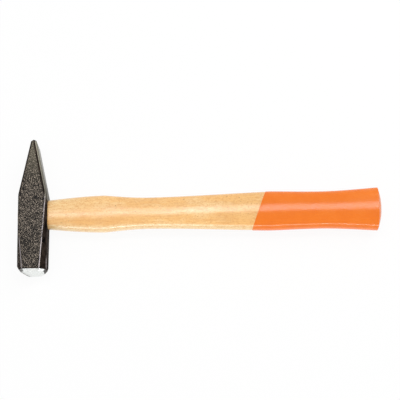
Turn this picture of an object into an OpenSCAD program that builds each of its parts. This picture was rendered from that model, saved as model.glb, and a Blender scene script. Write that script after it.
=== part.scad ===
// Fitter's hammer with a cross pein, lying on one cheek.
// X runs along the handle from the head to the butt, Y from the striking face to the pein
// and Z up. The origin lies on the lower cheek, below the middle of the eye.

/* [Head] */
// Side of the square head
head_w = 23; // [20:0.5:30]
// Eye centre to the crown of the striking face
face_reach = 48.7; // [38:0.1:60]
// Eye centre to the tip of the pein
pein_reach = 60.7; // [50:0.5:75]
// Eye centre to the knee where the pein starts to taper
knee_y = 14.7; // [13:0.5:22]
// Thickness of the pein's rounded edge
pein_tip = 5; // [3:0.5:8]
// Bevel along the edges of the head
edge_bevel = 1.1; // [0.5:0.1:2]
// Leg of the four long chamfers where they reach the rim
face_chamfer = 4.7; // [2.5:0.1:6]
// Eye centre to the place where those chamfers start to widen
chamfer_start = 9; // [-5:0.5:14]
// Radius of the crown on the striking face
crown_r = 90; // [60:5:200]
// Leg of the bevelled rim round the striking face
rim_bevel = 2.6; // [0.5:0.1:4]

/* [Eye and wedges] */
// Length of the eye at its waist
eye_l = 20.5; // [15:0.5:25]
// Width of the eye at its waist
eye_w = 12.5; // [9:0.5:15]
// How much each wall of the eye opens towards its two mouths
eye_flare = 0.7; // [0.2:0.1:1.5]
// Clearance all round the tenon in the eye
eye_fit = 0.08; // [0.02:0.01:0.2]
// How far the tenon stands out of the eye
tenon_proud = 0.5; // [0:0.1:3]
// How deep the wooden wedge goes
wedge_depth = 18; // [12:0.5:21]
// Thickness of the wooden wedge at the end of the tenon
wedge_t = 3.2; // [2:0.1:5]
// Thickness of the wooden wedge at its tip
wedge_tip = 0.8; // [0.4:0.1:1.5]
// Width of the steel wedge
steel_w = 11; // [7:0.5:12]
// Thickness of the steel wedge at its head
steel_t = 2.4; // [1.5:0.1:4]
// Thickness of the steel wedge at its tip
steel_tip = 0.6; // [0.3:0.1:1]
// How deep the steel wedge goes
steel_depth = 13; // [8:0.5:16]
// Number of barbs on each side of the steel wedge
barb_count = 3; // [1:1:5]
// Height of a barb
barb_h = 0.25; // [0.1:0.05:0.5]
// Turn of the steel wedge from the long axis of the eye, in degrees
steel_turn = 45; // [30:5:90]

/* [Handle] */
// Length of the handle from the end of the tenon to the end of the butt
handle_l = 290.5; // [245:0.5:400]
// Squareness of the oval section: 2 is an ellipse
oval_power = 2.5; // [2:0.1:4]
// How far the shoulder stands out round the mouth of the eye
shoulder_ledge = 0.7; // [0.3:0.1:3]
// Eye centre to the swell
swell_x = 56.2; // [40:0.5:70]
// Height of the swell
swell_h = 29.8; // [26:0.1:38]
// Thickness of the swell
swell_t = 19.4; // [16:0.1:22.4]
// Eye centre to the waist
waist_x = 91.7; // [75:0.5:115]
// Height of the waist
waist_h = 25.2; // [22:0.1:32]
// Thickness of the waist
waist_t = 17; // [14:0.1:22]
// End of the butt to the belly
belly_from_end = 89.8; // [75:0.5:110]
// Height of the belly
belly_h = 31; // [28:0.1:38]
// Thickness of the belly
belly_t = 21; // [18:0.1:22.4]
// End of the butt to the thinnest place of the grip
grip_from_end = 48.3; // [35:0.5:60]
// Height of the grip at that place
grip_h = 29.4; // [26:0.1:36]
// Thickness of the grip at that place
grip_t = 20.2; // [17:0.1:22.4]
// Height of the butt at its edge
butt_h = 34.2; // [30:0.1:40]
// Rise of the domed end of the butt
butt_dome = 3; // [2:0.1:8]
// How far the butt's end leans from square, in degrees
butt_lean = 2; // [0:0.5:8]

/* [Lacquer] */
// Thickness of the lacquer coat
lacquer_t = 0.3; // [0.1:0.05:0.6]
// End of the butt to the middle of the coat's edge
dip_from_end = 98.2; // [60:0.5:130]
// Slant of the coat's edge, in degrees
dip_slant = 20.5; // [0:0.5:30]

/* [Hidden] */

// Points round each oval section, and sections along each stretch of the handle
SIDES = 40;
EYE_STEPS = 6;
SPAN_STEPS = 7;
DOME_STEPS = 6;
// Turn from the edge of the dome to the small flat at its end, in degrees
DOME_TURN = 86;
// Fineness of true round surfaces
$fn = 96;
// How far a cutting shape runs past what it cuts
OVERCUT = 2;

half_w = head_w / 2;
axis_z = half_w;
tenon_end = -half_w - tenon_proud;
butt_end = tenon_end + handle_l;
butt_edge = butt_end - butt_dome;
// The coated butt is as thick as the head, so that the hammer lies level
butt_t = head_w - 2 * lacquer_t;
belly_x = butt_end - belly_from_end;
grip_x = butt_end - grip_from_end;

// The pein's side leaves the knee and touches the round tip, leaning by pein_lean
tip_r = pein_tip / 2;
tip_y = pein_reach - tip_r;
knee_to_tip = norm([half_w, tip_y - knee_y]);
pein_lean = acos(tip_r / knee_to_tip) - atan2(tip_y - knee_y, half_w);

// Distance from the head's axis to a corner, with a chamfer of the given leg
function corner_reach(leg) = (head_w - leg) * sqrt(1 / 2);
bevel_reach = corner_reach(edge_bevel);
chamfer_reach = corner_reach(face_chamfer);
rim_y = rim_bevel - face_reach;

// Outline of the head as seen on its cheek
module head_outline() {
    tangent = tip_r * [cos(pein_lean), sin(pein_lean)];
    polygon([
        [rim_bevel - half_w, -face_reach],
        [half_w - rim_bevel, -face_reach],
        [half_w, rim_y],
        [half_w, knee_y],
        [tangent.x, tip_y + tangent.y],
        [-tangent.x, tip_y + tangent.y],
        [-half_w, knee_y],
        [-half_w, rim_y],
    ]);
    translate([0, tip_y]) circle(r = tip_r);
}

// Side of the head from past the pein to the bevelled rim: across a diagonal, and across a cheek
function rim_side(reach) = [[reach, rim_y], [reach - rim_bevel, -face_reach]];
function diagonal_side() = concat(
    [[bevel_reach, pein_reach + OVERCUT], [bevel_reach, chamfer_start]],
    rim_side(chamfer_reach)
);
function cheek_side() = concat([[half_w, pein_reach + OVERCUT]], rim_side(half_w));

// Bar along the head, turned about its axis, that bounds it on two opposite sides
module bounding_bar(turn, side) {
    other_side = reversed([for (p = side) [-p.x, p.y]]);
    translate([0, 0, axis_z])
        rotate([0, turn, 0])
            linear_extrude(height = 2 * head_w, center = true)
                polygon(concat(side, other_side));
}

// Bar along Y that bevels the edge between a face towards +X and a face towards +Z
module bevel_bar(length) {
    side = edge_bevel + OVERCUT;
    rotate([0, -45, 0])
        translate([-edge_bevel * sqrt(1 / 2), -OVERCUT, -side / 2])
            cube([side, length + 2 * OVERCUT, side]);
}

// The slanting edges of the pein and the two ends of its rounded tip
module pein_bevels() {
    for (cheek = [0, 1]) {
        translate([0, 0, axis_z]) mirror([0, 0, cheek]) translate([0, 0, half_w]) {
            for (side = [0, 1]) {
                mirror([side, 0, 0])
                    translate([half_w, knee_y, 0])
                        rotate([0, 0, pein_lean])
                            bevel_bar(knee_to_tip);
            }
            translate([-tip_r, pein_reach, 0])
                rotate([0, 0, 90])
                    mirror([0, 1, 0])
                        bevel_bar(pein_tip);
        }
    }
}

// Ball whose lowest place is the crown of the striking face
module crown() {
    translate([0, crown_r - face_reach, axis_z]) sphere(r = crown_r);
}

// Half sizes of the eye at a place along it: it opens towards both mouths
function eye_half(size, x) = size / 2 + eye_flare * pow(x / half_w, 2);

// Section as [x, half height, half thickness] at a place along the eye, inset by a gap
function eye_section(x, gap) = [x, eye_half(eye_l, x) - gap, eye_half(eye_w, x) - gap];
function eye_sections(from, to, gap) = [
    for (i = [0 : EYE_STEPS]) eye_section(from + (to - from) * i / EYE_STEPS, gap)
];

// Slope of a section, which turns gradually from the grip to the leaning end of the butt
function lean(x) = tan(butt_lean) * max(0, min(1, (x - grip_x) / (butt_edge - grip_x)));

// Point on an oval of unit size, as a superellipse
function rounded(v) = sign(v) * pow(abs(v), 2 / oval_power);
function oval(section) = [
    for (i = [0 : SIDES - 1])
        let (turn = 360 * i / SIDES, y = section[1] * rounded(cos(turn)))
            [
                section[0] + y * lean(section[0]),
                y,
                axis_z + section[2] * rounded(sin(turn))
            ]
];
function loft_points(sections) = [for (s = sections) each oval(s)];

// Triangles between rings of points, from ring first to ring last
function loft_sides(first, last) = [
    for (r = [first : last - 1])
        for (i = [0 : SIDES - 1])
            let (
                a = r * SIDES + i,
                b = r * SIDES + (i + 1) % SIDES,
                c = a + SIDES,
                d = b + SIDES
            )
                each [[a, c, d], [a, d, b]]
];
function ring(r) = [for (i = [0 : SIDES - 1]) r * SIDES + i];
function reversed(list) = [for (i = [len(list) - 1 : -1 : 0]) list[i]];

module loft(sections) {
    last = len(sections) - 1;
    polyhedron(
        points = loft_points(sections),
        faces = concat([ring(0)], loft_sides(0, last), [reversed(ring(last))])
    );
}

// Size of the shoulder across a mouth of the eye
function shoulder(size) = 2 * (eye_half(size, half_w) + shoulder_ledge);

// Stations of the handle as [x, height, thickness], each level in its outline
STATIONS = [
    [half_w, shoulder(eye_l), shoulder(eye_w)],
    [swell_x, swell_h, swell_t],
    [waist_x, waist_h, waist_t],
    [belly_x, belly_h, belly_t],
    [grip_x, grip_h, grip_t],
    [butt_edge, butt_h, butt_t],
];
// How far the outline stays level after and before the two ends of each stretch
LEVEL = [[0, 0.35], [0.1, 0.45], [0.3, 0.15], [0.2, 0.4], [0.35, 0.05]];

// Blend between two ends: along the handle, and across it
function along(t, level) =
    3 * t * pow(1 - t, 2) * level[0] + 3 * pow(t, 2) * (1 - t) * (1 - level[1]) + pow(t, 3);
function across(t) = pow(t, 2) * (3 - 2 * t);
function between(a, b, t, level) = [
    a[0] + (b[0] - a[0]) * along(t, level),
    (a[1] + (b[1] - a[1]) * across(t)) / 2,
    (a[2] + (b[2] - a[2]) * across(t)) / 2
];
function grip_sections() = [
    for (k = [0 : len(LEVEL) - 1])
        for (i = [0 : SPAN_STEPS - 1])
            between(STATIONS[k], STATIONS[k + 1], i / SPAN_STEPS, LEVEL[k])
];

// Sections of the domed butt from its edge to its end, with a coat of the given thickness
function dome_sections(coat) = [
    for (i = [0 : DOME_STEPS])
        let (share = cos(DOME_TURN * i / DOME_STEPS))
            [
                butt_edge + (butt_dome + coat) * (1 - pow(share, 2)),
                (butt_h / 2 + coat) * share,
                (butt_t / 2 + coat) * share
            ]
];
function coated(sections, coat) = [for (s = sections) [s[0], s[1] + coat, s[2] + coat]];

// Tapered plug that fills the saw cut in the tenon, from its end inwards
module wedge_shape() {
    rotate([90, 0, 0])
        linear_extrude(height = 2 * eye_l, center = true)
            translate([tenon_end, axis_z])
                polygon([
                    [0, -wedge_t / 2],
                    [wedge_depth, -wedge_tip / 2],
                    [wedge_depth, wedge_tip / 2],
                    [0, wedge_t / 2],
                ]);
}

// Side of the steel wedge: each barb leans out towards the head of the wedge
function steel_half(depth) = (steel_t + (steel_tip - steel_t) * depth / steel_depth) / 2;
function barb_side() = [
    for (k = [0 : barb_count - 1])
        let (pitch = steel_depth / (barb_count + 1), top = k * pitch, foot = top + pitch)
            each [
                [top, steel_half(top)],
                [foot, steel_half(foot) + barb_h],
            ]
];

module steel_shape() {
    side = concat(barb_side(), [[steel_depth, steel_tip / 2]]);
    other_side = reversed([for (p = side) [p.x, -p.y]]);
    translate([tenon_end, 0, axis_z])
        rotate([steel_turn, 0, 0])
            rotate([90, 0, 0])
                linear_extrude(height = steel_w, center = true)
                    polygon(concat(side, other_side));
}

module hammer_head() {
    color("dimgray")
        difference() {
            intersection() {
                translate([0, 0, axis_z])
                    linear_extrude(height = 2 * head_w, center = true)
                        head_outline();
                bounding_bar(45, diagonal_side());
                bounding_bar(-45, diagonal_side());
                bounding_bar(90, cheek_side());
                crown();
            }
            pein_bevels();
            loft(eye_sections(-half_w - OVERCUT, half_w + OVERCUT, 0));
        }
}

module handle() {
    color("burlywood")
        difference() {
            loft(concat(
                eye_sections(tenon_end, half_w, eye_fit),
                grip_sections(),
                dome_sections(0)
            ));
            wedge_shape();
            steel_shape();
        }
}

module wood_wedge() {
    color("peru")
        difference() {
            intersection() {
                wedge_shape();
                loft(eye_sections(tenon_end, half_w, eye_fit));
            }
            steel_shape();
        }
}

module steel_wedge() {
    color("silver") steel_shape();
}

// Cup with the handle's own surface inside, cut off along the slanting edge
module grip_lacquer() {
    bare = concat(grip_sections(), dome_sections(0));
    edge_low = dip_from_end + belly_h / 2 * tan(dip_slant) + OVERCUT;
    first = max([for (i = [0 : len(bare) - 1]) if (bare[i][0] < butt_end - edge_low) i]);
    grip = [for (s = grip_sections()) if (s[0] >= bare[first][0]) s];
    inside = concat(grip, dome_sections(0));
    outside = concat(coated(grip, lacquer_t), dome_sections(lacquer_t));
    count = len(inside);
    inner_sides = [for (f = loft_sides(count, 2 * count - 1)) reversed(f)];
    rim = [
        for (i = [0 : SIDES - 1])
            let (o = ring(0), n = ring(count), j = (i + 1) % SIDES)
                each [[o[i], o[j], n[j]], [o[i], n[j], n[i]]]
    ];
    color("darkorange")
        difference() {
            polyhedron(
                points = loft_points(concat(outside, inside)),
                faces = concat(
                    loft_sides(0, count - 1),
                    [reversed(ring(count - 1))],
                    inner_sides,
                    [ring(2 * count - 1)],
                    rim
                )
            );
            translate([butt_end - dip_from_end, 0, 0])
                rotate([0, 0, -dip_slant])
                    translate([-handle_l, -butt_h, -OVERCUT])
                        cube([handle_l, 2 * butt_h, head_w + 2 * OVERCUT]);
        }
}

hammer_head();
handle();
wood_wedge();
steel_wedge();
grip_lacquer();
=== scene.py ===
import math

import bpy
import numpy as np
from mathutils import Matrix, Vector


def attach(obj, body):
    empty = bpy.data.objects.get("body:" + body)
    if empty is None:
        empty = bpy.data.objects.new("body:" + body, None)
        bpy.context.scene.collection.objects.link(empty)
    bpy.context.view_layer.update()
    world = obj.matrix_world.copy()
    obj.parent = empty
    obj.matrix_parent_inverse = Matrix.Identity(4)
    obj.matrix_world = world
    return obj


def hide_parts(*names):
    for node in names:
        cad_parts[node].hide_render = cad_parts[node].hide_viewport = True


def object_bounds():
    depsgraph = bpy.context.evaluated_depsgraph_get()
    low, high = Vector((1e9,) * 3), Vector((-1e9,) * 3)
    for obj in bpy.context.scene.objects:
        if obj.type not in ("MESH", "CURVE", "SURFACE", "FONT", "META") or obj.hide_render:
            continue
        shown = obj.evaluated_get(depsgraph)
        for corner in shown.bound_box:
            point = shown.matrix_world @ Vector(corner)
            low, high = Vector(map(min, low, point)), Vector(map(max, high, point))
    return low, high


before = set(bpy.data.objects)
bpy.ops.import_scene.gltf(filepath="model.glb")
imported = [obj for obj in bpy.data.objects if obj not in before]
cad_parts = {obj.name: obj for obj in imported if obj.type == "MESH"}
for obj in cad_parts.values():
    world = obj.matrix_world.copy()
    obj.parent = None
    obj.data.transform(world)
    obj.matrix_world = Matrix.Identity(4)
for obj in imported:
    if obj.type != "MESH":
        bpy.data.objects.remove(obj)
cad_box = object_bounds()

# Sizes in mm, in the frame of the CAD part: X along the handle, Y from the face to the pein, Z up
MM = 0.001
BOX_LOW, BOX_HIGH = ([round(v / MM, 3) for v in corner] for corner in cad_box)

# Head
HALF_W = BOX_HIGH[2] / 2
AXIS_Z = HALF_W
FACE_Y = BOX_LOW[1]
PEIN_Y = BOX_HIGH[1]
KNEE_Y = 14.7
TIP_R = 2.5
TIP_Y = PEIN_Y - TIP_R
EDGE_BEVEL = 1.1
CHAMFER_Y = 9.0
FACE_CHAMFER = 4.7
RIM_Y = -46.1
CROWN_R = 90.0
EDGE_SOFT = 0.45
RIM_SOFT = 0.35
KNEE_SOFT = 0.5
# Angle of the pein's slopes, which run from the knees to the round tip, and where they touch it
SLOPE = math.acos(TIP_R / math.hypot(HALF_W, TIP_Y - KNEE_Y)) - math.atan2(TIP_Y - KNEE_Y, HALF_W)
TANGENT_Y = TIP_Y + TIP_R * math.sin(SLOPE)
# Dressed lower corners of the striking face, as a point of each plane and its outward normal
FAR_CORNER = np.array([-7.92, -48.5, 18.0]), np.array([-0.811, -0.54, -0.223])
NEAR_CORNER = np.array([8.63, -48.5, 9.0]), np.array([0.709, -0.599, -0.372])

# Eye, and the clearance of the tenon in it
EYE_L = 20.5
EYE_W = 12.5
EYE_FLARE = 0.7
EYE_FIT = 0.08

# Handle
TENON_X = BOX_LOW[0]
BUTT_X = TENON_X + 290.5
DOME = 3.0
BUTT_EDGE_X = BUTT_X - DOME
LAST_RING_X = BUTT_EDGE_X - 0.8
GRIP_X = BUTT_X - 48.3
BELLY_X = BUTT_X - 89.8
WAIST_X = 91.7
SWELL_X = 56.2
LEDGE = 0.7
SHOULDER_SOFT = 0.15
BUTT_H = 34.2
BUTT_T = 22.4
BUTT_LEAN = math.tan(math.radians(2.0))
OVAL_POWER = 2.5

# Coat of lacquer
COAT = 0.3
COAT_FOOT = 0.006
LIP = 0.4
DIP_X = BUTT_X - 98.2
DIP_SLANT = math.tan(math.radians(20.5))

# Wedges as (length, thickness at the tenon's end, thickness at the tip), and the barbs of the steel one
WOOD_WEDGE = (18, 3.2, 0.8)
STEEL_WEDGE = (13, 2.4, 0.6)
STEEL_HALF_W = 5.5
STEEL_TURN = math.radians(45)
BARBS = 3
BARB = 0.25

# Stations of the handle as (x, height, thickness), and how long each span stays level at its ends
STATIONS = [
    (HALF_W, EYE_L + 2 * (EYE_FLARE + LEDGE), EYE_W + 2 * (EYE_FLARE + LEDGE)),
    (SWELL_X, 29.8, 19.4),
    (WAIST_X, 25.2, 17.0),
    (BELLY_X, 31.0, 21.0),
    (GRIP_X, 29.4, 20.2),
    (BUTT_EDGE_X, BUTT_H, BUTT_T),
]
LEVEL = [(0, 0.35), (0.1, 0.45), (0.3, 0.15), (0.2, 0.4), (0.35, 0.05)]


# Meshes

def mesh_object(name, verts_mm, faces):
    mesh = bpy.data.meshes.new(name)
    mesh.from_pydata([tuple(v) for v in np.asarray(verts_mm, float) * MM], [], faces)
    mesh.validate()
    mesh.shade_smooth()
    obj = bpy.data.objects.new(name, mesh)
    bpy.context.scene.collection.objects.link(obj)
    return obj


def shade(mesh, sharp_deg):
    """Smooth shading, apart from edges that are sharper than an angle."""
    mesh.shade_smooth()
    mesh.set_sharp_from_angle(angle=math.radians(sharp_deg))


def places(mesh):
    """Coordinates of the vertices in mm, as rows of x, y and z."""
    flat = np.empty(len(mesh.vertices) * 3)
    mesh.vertices.foreach_get("co", flat)
    return (flat.reshape(-1, 3) / MM).T


def mark(mesh, name, values):
    """Gives each vertex a value that the material reads."""
    layer = mesh.attributes.new(name, "FLOAT", "POINT")
    layer.data.foreach_set("value", values.astype(np.float32))


def turned(faces):
    """The same faces, wound the other way."""
    return [tuple(reversed(f)) for f in faces]


def ring_faces(count, rows):
    """Quads between closed rings of points that follow each other."""
    faces = []
    for r in range(rows - 1):
        for i in range(count):
            j = (i + 1) % count
            a, b = r * count + i, r * count + j
            faces.append((a, a + count, b + count, b))
    return faces


def fan(first, count, pole):
    """Triangles from a ring, given by its first vertex and its count, to the vertex that closes it."""
    return [(first + i, pole, first + (i + 1) % count) for i in range(count)]


def bezier(a, corner, b, steps):
    """Points of a rounded corner, without its two ends."""
    out = []
    for k in range(1, steps):
        t = k / steps
        out.append((1 - t) ** 2 * a + 2 * t * (1 - t) * corner + t ** 2 * b)
    return out


def toward(a, b, distance):
    """Point at a distance from a, on the way to b."""
    return a + distance * (b - a) / np.linalg.norm(b - a)


def smooth(low, high, v):
    t = np.clip((v - low) / (high - low), 0, 1)
    return t * t * (3 - 2 * t)


def tube(name, rings):
    """Closed tube through rings, with flat ends."""
    count = len(rings[0])
    last = (len(rings) - 1) * count
    faces = ring_faces(count, len(rings))
    faces += [tuple(range(count)), tuple(reversed(range(last, last + count)))]
    return mesh_object(name, np.vstack(rings), turned(faces))


def block(name, point, normal):
    """Large block that lies on the outer side of a plane."""
    size = 30
    out = normal / np.linalg.norm(normal)
    u = np.cross(out, [0, 0, 1])
    u /= np.linalg.norm(u)
    w = np.cross(out, u)
    square = [(-1, -1), (1, -1), (1, 1), (-1, 1)]
    verts = [point + size * (a * u + b * w + c * out) for c in (0, 1) for a, b in square]
    faces = [(3, 2, 1, 0), (4, 5, 6, 7)]
    faces += [(i, (i + 1) % 4, (i + 1) % 4 + 4, i + 4) for i in range(4)]
    return mesh_object(name, verts, faces)


def cut(obj, cutters):
    """Takes the cutters out of the object's mesh, then removes them."""
    for cutter in cutters:
        mod = obj.modifiers.new("cut_" + cutter.name, "BOOLEAN")
        mod.operation = "DIFFERENCE"
        mod.solver = "EXACT"
        mod.object = cutter
    bpy.context.view_layer.update()
    graph = bpy.context.evaluated_depsgraph_get()
    made = bpy.data.meshes.new_from_object(obj.evaluated_get(graph))
    obj.modifiers.clear()
    old, obj.data = obj.data, made
    made.name = old.name + "_cut"
    bpy.data.meshes.remove(old)
    for cutter in cutters:
        data = cutter.data
        bpy.data.objects.remove(cutter)
        bpy.data.meshes.remove(data)


# Oval sections

def unit_oval(count):
    """Points of a superellipse of half sizes 1 and 1, evenly spaced once it is stretched in height."""
    aspect = 1.5
    turn = np.linspace(0, 2 * np.pi, 6001)
    y = np.sign(np.cos(turn)) * np.abs(np.cos(turn)) ** (2 / OVAL_POWER)
    z = np.sign(np.sin(turn)) * np.abs(np.sin(turn)) ** (2 / OVAL_POWER)
    way = np.concatenate([[0], np.cumsum(np.hypot(aspect * np.diff(y), np.diff(z)))])
    at = np.linspace(0, way[-1], count, endpoint=False)
    return np.column_stack([np.interp(at, way, y), np.interp(at, way, z)])


OVAL = unit_oval(144)


def lean(x):
    """Shift of a section along X for each mm of height, which grows from the grip to the butt."""
    return BUTT_LEAN * np.clip((x - GRIP_X) / (BUTT_EDGE_X - GRIP_X), 0, 1)


def oval_ring(x, half_h, half_t):
    y = half_h * OVAL[:, 0]
    return np.column_stack([x + y * lean(x), y, AXIS_Z + half_t * OVAL[:, 1]])


def profile_table():
    """Fine table of x, half height and half thickness, from the shoulder to the butt's edge."""
    rows = []
    t = np.linspace(0, 1, 400, endpoint=False)
    across = t ** 2 * (3 - 2 * t)
    for a, b, level in zip(STATIONS, STATIONS[1:], LEVEL):
        along = 3 * t * (1 - t) ** 2 * level[0] + 3 * t ** 2 * (1 - t) * (1 - level[1]) + t ** 3
        shares = (along, across, across)
        rows.append(np.column_stack([a[i] + (b[i] - a[i]) * shares[i] for i in range(3)]))
    table = np.vstack(rows + [np.array([STATIONS[-1]])])
    table[:, 1:] /= 2
    return table


PROFILE = profile_table()


def half_sizes(x):
    """Half height and half thickness of the handle."""
    return np.interp(x, PROFILE[:, 0], PROFILE[:, 1]), np.interp(x, PROFILE[:, 0], PROFILE[:, 2])


def eye_half(size, x):
    return size / 2 + EYE_FLARE * (x / HALF_W) ** 2


def eye_ring(x, inset):
    """Section of the eye, drawn in by an inset."""
    return oval_ring(x, eye_half(EYE_L, x) - inset, eye_half(EYE_W, x) - inset)


# Head

def head_half_x(y):
    """Half width of the head at a place along it, with a softened knee and a round tip."""
    if y >= TANGENT_Y:
        return math.sqrt(max(TIP_R ** 2 - (y - TIP_Y) ** 2, 0))
    past_knee = KNEE_SOFT * math.log1p(math.exp((y - KNEE_Y) / KNEE_SOFT))
    return HALF_W - past_knee * math.tan(SLOPE)


def chamfer_leg(y):
    share = max(0.0, (CHAMFER_Y - y) / (CHAMFER_Y - RIM_Y))
    return EDGE_BEVEL + (FACE_CHAMFER - EDGE_BEVEL) * share


def octagon(half_x, half_z, leg_x, leg_z):
    """Points [x, z] round an oblong with chamfered and softened corners."""
    ix, iz = half_x - leg_x, half_z - leg_z
    corners = [np.array(c) for c in (
        (half_x, iz), (ix, half_z), (-ix, half_z), (-half_x, iz),
        (-half_x, -iz), (-ix, -half_z), (ix, -half_z), (half_x, -iz),
    )]
    soft = min(EDGE_SOFT, 0.45 * leg_x, 0.5 * ix)
    # Points on the walls crowd towards the edges, and less so where the pein is thin
    crowding = min(1.0, half_x / 5)
    points = []
    for k, here in enumerate(corners):
        before, after = corners[k - 1], corners[(k + 1) % 8]
        a, b = toward(here, before, soft), toward(here, after, soft)
        end = toward(after, here, soft)
        points += [a] + bezier(a, here, b, 3) + [b]
        on_wall = k % 2 == 1
        count = 28 if on_wall else 14
        for i in range(1, count):
            t = i / count
            if on_wall:
                t += crowding * (0.5 - 0.5 * math.cos(math.pi * t) - t)
            points.append(b + (end - b) * t)
    return np.array(points)


def head_section(y):
    half_x = head_half_x(y)
    half_z = min(HALF_W, HALF_W - EDGE_BEVEL + PEIN_Y - y)
    return octagon(half_x, half_z, min(chamfer_leg(y), 0.7 * half_x), chamfer_leg(y))


def rim_section(d):
    """Section at the rim, drawn in by d on all eight sides."""
    leg = FACE_CHAMFER - (2 - math.sqrt(2)) * d
    return octagon(HALF_W - d, HALF_W - d, leg, leg)


def crown_y(r):
    return FACE_Y + CROWN_R - np.sqrt(CROWN_R ** 2 - r ** 2)


def at_y(xz, y):
    y = np.broadcast_to(y, (len(xz),))
    return np.column_stack([xz[:, 0], y, AXIS_Z + xz[:, 1]])


def head_rings():
    # Round tip, slopes and knee of the pein
    rows = [TIP_Y + TIP_R * math.sin(math.radians(a)) for a in (88, 84, 78, 70, 60, 50, 40, 30, 20)]
    rows += list(np.linspace(TIP_Y + 0.4, KNEE_Y + 3, 30))
    rows += list(np.linspace(KNEE_Y + 2.5, KNEE_Y - 2.5, 14))

    # Walls down to the softened rim
    rows += [CHAMFER_Y + d for d in (2.5, 1.4, 0.6)]
    rows += list(np.linspace(CHAMFER_Y, RIM_Y + 1.2, 34))
    rows += [RIM_Y + 0.75, RIM_Y + RIM_SOFT]
    rings = [at_y(head_section(y), y) for y in rows]
    rim = rim_section(0)
    draw = rim_section(1) - rim
    count = len(rim)

    def bevel(d):
        d = np.broadcast_to(d, (count,))
        return at_y(rim + draw * d[:, None], RIM_Y - d)

    first = bevel(RIM_SOFT / math.sqrt(2))
    rings += bezier(rings[-1], bevel(0), first, 4) + [first]

    # Bevel down to the crown, whose foot is found step by step, then the crown
    d = np.ones(count)
    for _ in range(30):
        d = RIM_Y - crown_y(np.linalg.norm(rim + draw * d[:, None], axis=1))
    foot = rim + draw * d[:, None]
    last = bevel(d - 0.15)

    def crown(share):
        return at_y(foot * share, crown_y(np.linalg.norm(foot * share, axis=1)))

    shares = (0.975, 0.93, 0.84, 0.7, 0.55, 0.4, 0.25, 0.12)
    rings += [(first + last) / 2, last] + bezier(last, bevel(d), crown(shares[0]), 4)
    return rings + [crown(share) for share in shares]


def head_mesh():
    rings = head_rings()
    count = len(rings[0])
    # The tip ends a hair inside the CAD box
    hair = 0.0005
    poles = np.array([[0, PEIN_Y - hair, AXIS_Z], [0, FACE_Y, AXIS_Z]])
    verts = np.vstack(rings + [poles])
    tip, face = len(verts) - 2, len(verts) - 1
    faces = turned(fan(0, count, tip)) + ring_faces(count, len(rings)) + fan(tip - count, count, face)
    head = mesh_object("head_forging", verts, turned(faces))
    reach = HALF_W + 2
    eye = tube("eye", [eye_ring(x, 0) for x in np.linspace(-reach, reach, 15)])
    cut(head, [block("far_corner", *FAR_CORNER), block("near_corner", *NEAR_CORNER), eye])
    shade(head.data, sharp_deg=42)
    head.modifiers.new("normals", "WEIGHTED_NORMAL").keep_sharp = True
    mark_head(head.data)
    return head


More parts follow.
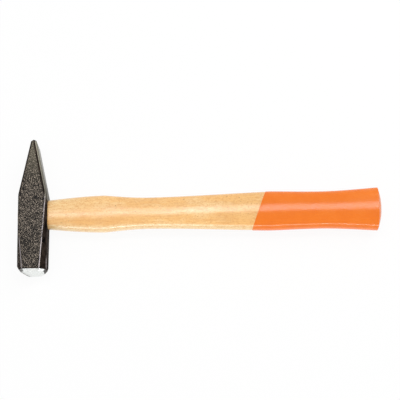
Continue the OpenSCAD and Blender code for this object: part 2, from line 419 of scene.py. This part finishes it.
def mark_head(mesh):
    """Marks the speckled paint, the ground face, the pein's ground slopes and the worn edges with their
    painted highlights.
    """
    spots = places(mesh)
    x, y, z = spots
    side_x, side_z = np.abs(x), np.abs(z - AXIS_Z)
    half_x = np.array([head_half_x(v) for v in y])
    leg = np.array([chamfer_leg(v) for v in y])
    handle_side = x > 0

    # Speckle lies on the cheeks and, away from the handle, on part of the chamfers, fainter near the face
    speckle = smooth(HALF_W - 0.3, HALF_W - 0.05, side_z)
    spread = smooth(HALF_W - 0.75 * leg - 0.2, HALF_W - 0.75 * leg, side_z)
    spread *= 0.6 + 0.4 * smooth(-26, -20, y)
    # No speckle on the chamfers on the side of the handle, which stay plain dark lacquer as painted shade
    speckle = np.where(handle_side, speckle, np.maximum(speckle, spread))
    speckle *= smooth(RIM_Y + 0.4, RIM_Y + 1.3, y)
    speckle *= 1 - smooth(PEIN_Y - 2.5, PEIN_Y - 0.5, y)

    # The ground end is brightest on the crown, duller on the bevels, and painted with shade towards the
    # dressed far corner
    past = np.clip(RIM_Y - y, 0, None)
    corner = FACE_CHAMFER - (2 - math.sqrt(2)) * past
    aside = (side_x - (HALF_W - past - corner)) / corner
    # On the side away from the handle the bevels stay dull, as painted shade
    bevel = np.where(handle_side, 0.85 - 0.75 * smooth(0.6, 0.95, aside), 0.3)
    bevel = np.where(aside < 0.02, 0.62, bevel)
    bevelled = past < RIM_Y - crown_y(np.hypot(x, z - AXIS_Z)) - 0.02
    face = smooth(0.05, 0.25, past) * np.where(bevelled, bevel, 1)
    # Painted shade on the crown where it rounds off towards the dressed far corner
    inside = (FAR_CORNER[0] - spots.T) @ FAR_CORNER[1]
    face *= 0.1 + 0.9 * (1 - np.exp(-np.clip(inside, 0, None)))

    # The slopes of the pein are ground, with a strip of the cheeks that is wider on the side of the handle
    inwards = half_x - side_x
    strip = np.where(handle_side, 1 - smooth(1.2, 1.5, inwards), 1 - smooth(0.15, 0.45, inwards))
    from_y = np.where(handle_side, KNEE_Y - 5, KNEE_Y)
    slope = strip * smooth(from_y - 0.5, from_y + 1.5, y)
    slope *= 1 - smooth(PEIN_Y - 2.2, PEIN_Y - 1, y)
    slope *= 0.6 + 0.4 * smooth(KNEE_Y, KNEE_Y + 25, y)
    dark = np.where(handle_side, 1 - smooth(2.7, 3.1, inwards), 1 - smooth(1.1, 1.6, inwards))
    speckle *= 1 - smooth(KNEE_Y - 0.5, KNEE_Y + 1.5, y) * dark

    # Edges worn bright, with painted highlights on them, mostly towards the face and on the side of the
    # handle
    drift = 0.35 + 0.045 * np.clip(y - RIM_Y, 0, None)
    out_x, out_z = np.where(handle_side, -0.5, drift), np.where(handle_side, 0, drift)
    to_cheek = np.hypot(side_x - (half_x - leg) - out_x, side_z - HALF_W + out_z)
    to_side = np.hypot(side_x - half_x, side_z - (HALF_W - leg))
    low = 1 - smooth(-26, -12, y)
    near = np.where(handle_side, 0.6 + 0.4 * low, 1 - smooth(-25, -16, y))
    near *= 1 - smooth(KNEE_Y - 3, KNEE_Y, y)
    edge = np.exp(-(to_cheek / 0.27) ** 2) * near
    edge = np.maximum(edge, np.exp(-(to_side / 0.4) ** 2) * 0.75 * (1 - smooth(-40, -32, y)))
    edge *= smooth(RIM_Y - 0.2, RIM_Y + 0.5, y)
    for name, values in (("speckle", speckle), ("face", face), ("slope", slope), ("edge", edge)):
        mark(mesh, name, values)


# Handle and coat

def dome_rings(coat, steps):
    """Rings of the domed butt, from its edge almost to its middle, under a coat of some thickness."""
    rings = []
    for i in range(steps):
        share = math.cos(math.radians(90 * i / steps))
        x = BUTT_EDGE_X + (DOME + coat) * (1 - share ** 2)
        rings.append(oval_ring(x, (BUTT_H / 2 + coat) * share, (BUTT_T / 2 + coat) * share))
    return rings


def wedge_half(wedge, depth):
    """Half thickness of a wedge at a depth from the tenon's end."""
    length, thick, thin = wedge
    return (thick + (thin - thick) * depth / length) / 2


def plate_cutter(name, side, half_width, turn):
    """Plate in the tenon's end, from one side as (depth, half thickness), mirrored and turned about X."""
    outline = side + [(d, -h) for d, h in reversed(side)]
    c, s = math.cos(turn), math.sin(turn)
    verts = []
    for w in (-half_width, half_width):
        verts += [(TENON_X + d, w * c - h * s, AXIS_Z + w * s + h * c) for d, h in outline]
    n = len(outline)
    faces = [tuple(range(n)), tuple(reversed(range(n, 2 * n)))]
    faces += [(i, i + n, (i + 1) % n + n, (i + 1) % n) for i in range(n)]
    return mesh_object(name, verts, turned(faces))


def wedge_cutters():
    """Saw cut for the wooden wedge and slot for the barbed steel one, both run out past the tenon's end."""
    run_out = 1.0
    wood_l, steel_l = WOOD_WEDGE[0], STEEL_WEDGE[0]
    saw_cut = [(d, wedge_half(WOOD_WEDGE, d)) for d in (-run_out, wood_l)]
    slot = [(d, wedge_half(STEEL_WEDGE, 0)) for d in (-run_out, 0)]
    for k in range(BARBS):
        head, foot = (n * steel_l / (BARBS + 1) for n in (k, k + 1))
        if k:
            slot.append((head, wedge_half(STEEL_WEDGE, head)))
        slot.append((foot, wedge_half(STEEL_WEDGE, foot) + BARB))
    slot.append((steel_l, STEEL_WEDGE[2] / 2))
    return [
        plate_cutter("saw_cut", saw_cut, EYE_L, 0),
        plate_cutter("slot", slot, STEEL_HALF_W, STEEL_TURN),
    ]


def handle_mesh():
    # Tenon with a softened end
    rings = [eye_ring(TENON_X + past, EYE_FIT + inset) for inset, past in ((0.25, 0), (0.1, 0.07), (0, 0.25))]
    rings += [eye_ring(x, EYE_FIT) for x in np.linspace(TENON_X + 1, HALF_W, 18)]

    # Shoulder
    half_h, half_t = STATIONS[0][1] / 2, STATIONS[0][2] / 2
    on_end = oval_ring(HALF_W, half_h - SHOULDER_SOFT, half_t - SHOULDER_SOFT)
    on_side = oval_ring(HALF_W + SHOULDER_SOFT, *half_sizes(HALF_W + SHOULDER_SOFT))
    rings += [on_end] + bezier(on_end, oval_ring(HALF_W, half_h, half_t), on_side, 4) + [on_side]

    # Swell, waist, belly, grip and butt
    rings += [oval_ring(x, *half_sizes(x)) for x in np.linspace(HALF_W + 1.5, LAST_RING_X, 170)]
    rings += dome_rings(0, 12)
    count = len(OVAL)
    verts = np.vstack(rings + [np.array([[BUTT_X, 0, AXIS_Z]])])
    pole = len(verts) - 1
    faces = [tuple(range(count))] + ring_faces(count, len(rings)) + fan(pole - count, count, pole)
    handle = mesh_object("ash_handle", verts, turned(faces))
    cut(handle, wedge_cutters())
    shade(handle.data, sharp_deg=38)

    # Height on the section, from -1 at the lower edge to 1 at the upper one
    x, y, _ = places(handle.data)
    mark(handle.data, "level", y / half_sizes(x)[0])
    return handle


def coat_mesh():
    """Shell of lacquer with a rounded lip along its slanting edge."""
    count = len(OVAL)
    edge_x = np.full(count, DIP_X)
    for _ in range(12):
        edge_x = DIP_X + half_sizes(edge_x)[0] * OVAL[:, 0] * DIP_SLANT

    def row(past, coat):
        """Ring at distances past the edge, with a coat of some thickness."""
        x = edge_x + past
        half_h, half_t = half_sizes(x)
        y = (half_h + coat) * OVAL[:, 0]
        return np.column_stack([x + y * lean(x), y, AXIS_Z + (half_t + coat) * OVAL[:, 1]])

    span = LAST_RING_X - edge_x
    under = COAT_FOOT / 2
    outer = []
    for a in np.linspace(0, math.pi / 2, 7):
        outer.append(row(LIP * (1 - math.cos(a)), COAT_FOOT + (COAT - COAT_FOOT) * math.sin(a)))
    outer += [row(LIP + (span - LIP) * u, COAT) for u in np.linspace(0, 1, 110)[1:]]
    outer += dome_rings(COAT, 14)
    inner = [row(span * u, under) for u in np.linspace(0, 1, 50)] + dome_rings(under, 14)
    rings = list(reversed(inner)) + outer
    poles = np.array([[BUTT_X + under, 0, AXIS_Z], [BUTT_X + COAT, 0, AXIS_Z]])
    verts = np.vstack(rings + [poles])
    inside, outside = len(verts) - 2, len(verts) - 1
    faces = ring_faces(count, len(rings))
    faces += turned(fan(0, count, inside)) + fan(inside - count, count, outside)
    coat = mesh_object("grip_coat", verts, turned(faces))
    shade(coat.data, sharp_deg=60)
    return coat


# Materials, whose lengths are in metres

class Nodes:
    """Small helper to write a node tree."""

    def __init__(self, owner):
        owner.use_nodes = True
        self.tree = owner.node_tree
        self.tree.nodes.clear()

    def add(self, kind, inputs=None, **props):
        """New node, whose inputs are values or the outputs of other nodes."""
        node = self.tree.nodes.new(kind)
        for key, value in props.items():
            setattr(node, key, value)
        for key, value in (inputs or {}).items():
            if isinstance(value, bpy.types.NodeSocket):
                self.tree.links.new(value, node.inputs[key])
            else:
                node.inputs[key].default_value = value
        return node

    def math(self, operation, a, b=0.0, clamp=False):
        return self.add("ShaderNodeMath", {0: a, 1: b}, operation=operation, use_clamp=clamp).outputs[0]


class Shader(Nodes):
    """Small helper to write a node material."""

    def __init__(self, name):
        self.material = bpy.data.materials.new(name)
        super().__init__(self.material)
        self.coords = self.add("ShaderNodeTexCoord").outputs["Object"]

    def noise(self, scale, detail=2.0, rough=0.5, stretch=None):
        at = self.coords
        if stretch:
            at = self.add("ShaderNodeMapping", {"Vector": at, "Scale": stretch}).outputs[0]
        inputs = {"Vector": at, "Scale": scale, "Detail": detail, "Roughness": rough}
        return self.add("ShaderNodeTexNoise", inputs).outputs["Fac"]

    def ramp(self, fac, stops):
        node = self.add("ShaderNodeValToRGB", {"Fac": fac})
        elements = node.color_ramp.elements
        while len(elements) < len(stops):
            elements.new(0.5)
        for element, (place, colour) in zip(elements, stops):
            element.position = place
            element.color = (*colour, 1)
        return node.outputs["Color"]

    def range(self, value, low, high, to_low, to_high):
        return self.add("ShaderNodeMapRange", {
            "Value": value, "From Min": low, "From Max": high, "To Min": to_low, "To Max": to_high,
        }).outputs[0]

    def mix(self, fac, a, b):
        a, b = (v if isinstance(v, bpy.types.NodeSocket) else (*v, 1) for v in (a, b))
        return self.add("ShaderNodeMix", {0: fac, 6: a, 7: b}, data_type="RGBA").outputs[2]

    def attribute(self, name):
        return self.add("ShaderNodeAttribute", attribute_name=name).outputs["Fac"]

    def bump(self, height, strength, distance):
        inputs = {"Height": height, "Strength": strength, "Distance": distance}
        return self.add("ShaderNodeBump", inputs).outputs[0]

    def finish(self, **inputs):
        names = {key.replace("_", " "): value for key, value in inputs.items()}
        surface = self.add("ShaderNodeBsdfPrincipled", names)
        self.add("ShaderNodeOutputMaterial", {"Surface": surface.outputs[0]})
        return self.material


def head_material():
    """Speckled dark lacquer over forged steel, worn and painted with highlights along the edges, with a
    ground face and slopes.
    """
    s = Shader("forged_head")

    # Speckled lacquer, paler towards the tip of the pein, and plain lacquer on the other walls
    grain = s.add("ShaderNodeTexVoronoi", {"Vector": s.coords, "Scale": 3600}).outputs["Color"]
    cloud = s.noise(90, 3)
    speck = s.math("ADD", grain, s.math("MULTIPLY", s.math("SUBTRACT", cloud, 0.5), 0.15))
    speckled = s.ramp(speck, [
        (0.46, (0.002, 0.0015, 0.001)),
        (0.62, (0.009, 0.0065, 0.005)),
        (0.73, (0.045, 0.036, 0.028)),
        (0.86, (0.72, 0.6, 0.48)),
    ])
    along = s.add("ShaderNodeSeparateXYZ", {"Vector": s.coords}).outputs[1]
    speckled = s.mix(s.range(along, 0.022, 0.055, 0, 0.34), speckled, (0.26, 0.235, 0.165))
    scale = s.range(s.noise(300, 3, 0.6, (1, 0.4, 1)), 0.4, 0.65, 0, 1)
    # On the chamfers by the handle the plain dark lacquer is painted shade
    plain = s.mix(scale, (0.004, 0.0035, 0.0035), (0.045, 0.032, 0.025))
    marked = s.attribute("speckle")
    lacquer = s.mix(marked, plain, speckled)

    # Worn edges with painted highlights, ground slopes and the face
    worn = s.range(s.noise(420, 3, 0.6), 0.3, 0.62, 0.35, 1.5)
    wear_and_glint = s.math("MULTIPLY", s.attribute("edge"), worn, True)
    wear_and_glint = s.range(wear_and_glint, 0.22, 0.62, 0, 0.95)
    colour = s.mix(wear_and_glint, lacquer, (0.5, 0.45, 0.46))
    face, slope = s.attribute("face"), s.attribute("slope")
    grind = s.noise(420, 3, 0.6, (1, 0.08, 1))
    ground = s.ramp(grind, [(0.3, (0.132, 0.127, 0.101)), (0.7, (0.39, 0.375, 0.31))])
    ground = s.mix(0.45, ground, speckled)
    colour = s.mix(slope, colour, ground)
    polish = s.noise(700, 3, 0.6)
    polished = s.ramp(polish, [(0.3, (0.64, 0.66, 0.64)), (0.62, (0.93, 0.95, 0.935))])
    colour = s.mix(face, colour, polished)
    bare = s.math("MAXIMUM", face, slope)
    metal = s.math("MAXIMUM", bare, s.math("MULTIPLY", wear_and_glint, 0.7))
    rough = s.range(bare, 0, 1, 0.55, 0.38)
    uneven = s.math("ADD", s.noise(900, 2), s.noise(200, 2))
    height = s.math("MULTIPLY", uneven, s.range(bare, 0, 1, 1, 0.08))
    return s.finish(
        Base_Color=colour, Metallic=metal, Roughness=rough, Normal=s.bump(height, 0.35, 0.0003),
        Specular_IOR_Level=s.range(marked, 0, 1, 0.006, 0.16),
    )


def wood_material(name, cream, pale, tan, dark, centre, spacing):
    """Straight-grained wood: growth rings about a far centre, fibres and pores, under clear varnish."""
    s = Shader(name)
    x, y, z = s.add("ShaderNodeSeparateXYZ", {"Vector": s.coords}).outputs

    # Growth rings, streaks and blotches
    wander = s.noise(9, 2, 0.5, (1, 2.5, 2.5))
    off_y, off_z = s.math("SUBTRACT", y, centre[0]), s.math("SUBTRACT", z, centre[1])
    far = s.math("SQRT", s.math("ADD", s.math("MULTIPLY", off_y, off_y), s.math("MULTIPLY", off_z, off_z)))
    far = s.math("ADD", far, s.math("MULTIPLY", wander, 0.009))
    ring = s.math("FRACT", s.math("DIVIDE", far, spacing))
    streak = s.noise(420, 3, 0.6, (0.025, 1, 1))
    blotch = s.noise(90, 4, 0.6, (0.6, 1, 1))
    bloom = s.noise(110, 4, 0.65, (0.3, 1, 1))
    ring = s.math("ADD", ring, s.math("MULTIPLY", s.math("SUBTRACT", streak, 0.5), 0.6))
    colour = s.ramp(ring, [(0.08, tan), (0.4, pale), (0.62, pale), (0.9, tan)])
    colour = s.mix(s.range(streak, 0.42, 0.64, 0.0, 0.8), colour, tan)
    colour = s.mix(s.range(blotch, 0.48, 0.64, 0.0, 0.24), colour, dark)
    colour = s.mix(s.range(bloom, 0.48, 0.64, 0.0, 0.5), colour, cream)

    # Near the head a painted highlight above and browner below, browner again towards the coat
    painted_highlight = s.math("MULTIPLY", s.range(x, 0.03, 0.07, 0.5, 0.0), s.range(y, 0.0, 0.004, 0.0, 1.0))
    lower = s.math("MULTIPLY", s.range(x, 0.06, 0.1, 0.3, 0.0), s.range(y, -0.007, -0.0025, 1.0, 0.0))
    colour = s.mix(painted_highlight, colour, cream)
    colour = s.mix(lower, colour, dark)
    colour = s.mix(s.range(x, 0.1, 0.19, 0.0, 0.15), colour, dark)
    colour = s.mix(s.range(x, 0.16, 0.178, 0.0, 0.18), colour, dark)

    # Painted light from the floor: a pale strip along the lower edge, narrower towards the coat
    level = s.math("ADD", s.attribute("level"), s.range(x, 0.07, 0.14, 0.0, 0.09))
    strip = s.range(level, -0.85, -0.76, 0.85, 0.0)
    colour = s.mix(strip, colour, tuple(v * 0.92 for v in cream))

    # Fibres, flecks and pores
    fibre = s.noise(1250, 3, 0.6, (0.02, 1, 1))
    mottle = s.noise(850, 1, 0.5, (0.32, 1, 1))
    fleck = s.noise(900, 0, 0.5, (0.9, 1, 1))
    pore = s.noise(620, 0, 0.5, (0.6, 1, 1))
    colour = s.mix(s.range(fibre, 0.46, 0.68, 0.0, 0.4), colour, dark)
    colour = s.mix(s.range(mottle, 0.45, 0.7, 0.0, 0.5), colour, dark)
    colour = s.mix(s.range(fleck, 0.52, 0.78, 0.0, 0.6), colour, dark)
    colour = s.mix(s.range(pore, 0.8, 0.86, 0.0, 0.8), colour, tuple(v * 0.5 for v in dark))

    # Varnish, duller near the head apart from the strip, which has a clear coat there
    wave = s.noise(32, 2, 0.5, (0.45, 1, 1))
    fine = s.math("MULTIPLY", s.math("ADD", fibre, mottle), 0.007)
    height = s.math("ADD", s.math("MULTIPLY", wave, 1.3), fine)
    rough = s.math("ADD", s.range(streak, 0.3, 0.7, 0.18, 0.25), s.range(x, 0.06, 0.14, 0.07, 0))
    gloss = s.math("MULTIPLY", s.range(x, 0.07, 0.13, 0.45, 0.0), s.range(level, -0.8, -0.65, 1.0, 0.0))
    return s.finish(
        Base_Color=colour, Roughness=rough, Normal=s.bump(height, 1.0, 0.0006),
        Specular_IOR_Level=s.range(x, 0.125, 0.178, 0.8, 0.5), Coat_Weight=gloss, Coat_Roughness=0.12,
    )


def lacquer_material():
    """Glossy orange lacquer with a faint cloud in its colour and a slight orange peel."""
    s = Shader("orange_lacquer")
    cloud = s.noise(70, 4, 0.6)
    fine = s.noise(900, 2, 0.6)
    tone = s.math("ADD", s.math("MULTIPLY", cloud, 0.6), s.math("MULTIPLY", fine, 0.4))
    colour = s.ramp(tone, [
        (0.3, (0.81, 0.165, 0.004)),
        (0.5, (0.85, 0.185, 0.006)),
        (0.7, (0.88, 0.217, 0.015)),
    ])
    return s.finish(
        Base_Color=colour, Roughness=s.range(cloud, 0.3, 0.7, 0.15, 0.22),
        Normal=s.bump(s.noise(240, 2), 0.05, 0.0004), Specular_IOR_Level=0.37,
    )


def steel_material():
    """Bare pressed steel with rolling lines and bruises."""
    s = Shader("wedge_steel")
    lines = s.noise(700, 3, 0.6, (0.1, 1, 1))
    bruise = s.noise(500, 3, 0.6)
    colour = s.ramp(lines, [(0.3, (0.38, 0.38, 0.37)), (0.7, (0.62, 0.62, 0.6))])
    colour = s.mix(s.range(bruise, 0.5, 0.7, 0, 0.5), colour, (0.3, 0.26, 0.22))
    return s.finish(
        Base_Color=colour, Metallic=1.0, Roughness=s.range(bruise, 0.3, 0.7, 0.32, 0.5),
        Normal=s.bump(bruise, 0.25, 0.0003),
    )


# Pieces

def paint(obj, material):
    obj.data.materials.clear()
    obj.data.materials.append(material)


def show(obj, material, node):
    paint(obj, material)
    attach(obj, "root")
    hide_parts(node)


ash = wood_material(
    "ash_wood",
    cream=(0.98, 0.76, 0.41), pale=(0.95, 0.63, 0.265), tan=(0.93, 0.545, 0.19), dark=(0.72, 0.34, 0.1),
    centre=(-0.004, -0.05), spacing=0.0075,
)
hard = wood_material(
    "wedge_wood",
    cream=(0.4, 0.23, 0.11), pale=(0.36, 0.2, 0.09), tan=(0.26, 0.13, 0.055), dark=(0.14, 0.07, 0.03),
    centre=(0.02, -0.03), spacing=0.0016,
)
show(head_mesh(), head_material(), "hammer_head")
show(handle_mesh(), ash, "handle")
show(coat_mesh(), lacquer_material(), "grip_lacquer")
paint(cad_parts["wood_wedge"], hard)
paint(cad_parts["steel_wedge"], steel_material())
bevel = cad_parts["steel_wedge"].modifiers.new("soft_edges", "BEVEL")
bevel.width = 0.00012
bevel.segments = 2
bevel.limit_method = "ANGLE"


# Stage, in metres

WHITE = (1, 1, 1, 1)


def is_seen(s):
    """1 for rays that show the background: from the camera, or by way of gloss or glass."""
    path = s.add("ShaderNodeLightPath").outputs
    seen = s.math("MAXIMUM", path["Is Camera Ray"], path["Is Glossy Ray"])
    return s.math("MAXIMUM", seen, path["Is Transmission Ray"])


def floor():
    """White floor that keeps a faint shadow, a little below the hammer."""
    size = 4.0
    mesh = bpy.data.meshes.new("floor")
    corners = [(-size, -size, 0), (size, -size, 0), (size, size, 0), (-size, size, 0)]
    mesh.from_pydata(corners, [], [(0, 1, 2, 3)])
    obj = bpy.data.objects.new("floor", mesh)
    obj.location = (0, 0, -0.0002)
    bpy.context.scene.collection.objects.link(obj)
    material = bpy.data.materials.new("pale_floor")
    s = Nodes(material)
    matt = s.add("ShaderNodeBsdfDiffuse", {"Color": (0.95, 0.95, 0.95, 1)}).outputs[0]
    white = s.add("ShaderNodeEmission").outputs[0]
    share = s.math("MULTIPLY", is_seen(s), 0.93)
    mixed = s.add("ShaderNodeMixShader", {0: share, 1: matt, 2: white}).outputs[0]
    s.add("ShaderNodeOutputMaterial", {"Surface": mixed})
    mesh.materials.append(material)


def sky():
    """Soft light from all round, which looks white itself."""
    world = bpy.data.worlds.new("studio")
    bpy.context.scene.world = world
    s = Nodes(world)
    fill = s.add("ShaderNodeBackground", {"Color": WHITE, "Strength": 0.59}).outputs[0]
    white = s.add("ShaderNodeBackground", {"Color": WHITE, "Strength": 1.0}).outputs[0]
    mixed = s.add("ShaderNodeMixShader", {0: is_seen(s), 1: fill, 2: white}).outputs[0]
    s.add("ShaderNodeOutputWorld", {"Surface": mixed})


def set_up(obj, right, up, back, place):
    """Puts a lamp or the camera into the scene, by its three axes and its place."""
    obj.matrix_world = Matrix([*zip(right, up, back, place), (0, 0, 0, 1)])
    bpy.context.scene.collection.objects.link(obj)


def lamp(name, place, target, size, watts, along=(1, 0, 0)):
    """Oblong lamp that faces a target, with its first side as near as can be along a direction."""
    data = bpy.data.lights.new(name, "AREA")
    data.shape = "RECTANGLE"
    data.size, data.size_y = size
    data.energy = watts
    obj = bpy.data.objects.new(name, data)
    obj.visible_camera = False
    back = (Vector(place) - Vector(target)).normalized()
    up = back.cross(Vector(along)).normalized()
    set_up(obj, up.cross(back), up, back, place)


def camera():
    """Looks down on the hammer from the side of the striking face, as the photograph does."""
    tilt, yaw, roll = (math.radians(a) for a in (17.01, -0.85, -1.33))
    target = Vector((0.13325, 0.01029, 0.0115))
    distance = 0.888
    picture_px, focal_px = 400, 1102.4
    across = math.cos(tilt)
    back = Vector((math.sin(yaw) * across, -math.sin(tilt), math.cos(yaw) * across)).normalized()
    right = (-back).cross(Vector((0, 1, 0))).normalized()
    up = right.cross(-back)
    data = bpy.data.cameras.new("camera")
    data.sensor_width = 36
    data.lens = focal_px / picture_px * data.sensor_width
    data.clip_start = 0.01
    data.clip_end = 50
    obj = bpy.data.objects.new("camera", data)
    rolled_right = math.cos(roll) * right + math.sin(roll) * up
    rolled_up = math.cos(roll) * up - math.sin(roll) * right
    set_up(obj, rolled_right, rolled_up, back, target + distance * back)
    bpy.context.scene.camera = obj


floor()
sky()
lamp(
    "overhead_strip", place=(0.1, 0.2, 0.88), target=(0.13, 0, 0.02), size=(0.95, 0.14), watts=2.9,
    along=(1, 0.2, 0),
)
lamp("front_strip", place=(0.13, -0.62, 0.038), target=(0.13, 0, 0.015), size=(0.8, 0.05), watts=1.75)
lamp("side_panel", place=(0.62, 0.45, 0.6), target=(0.05, 0, 0.012), size=(0.5, 0.5), watts=1.7)
camera()
bpy.context.scene.view_settings.view_transform = "Standard"
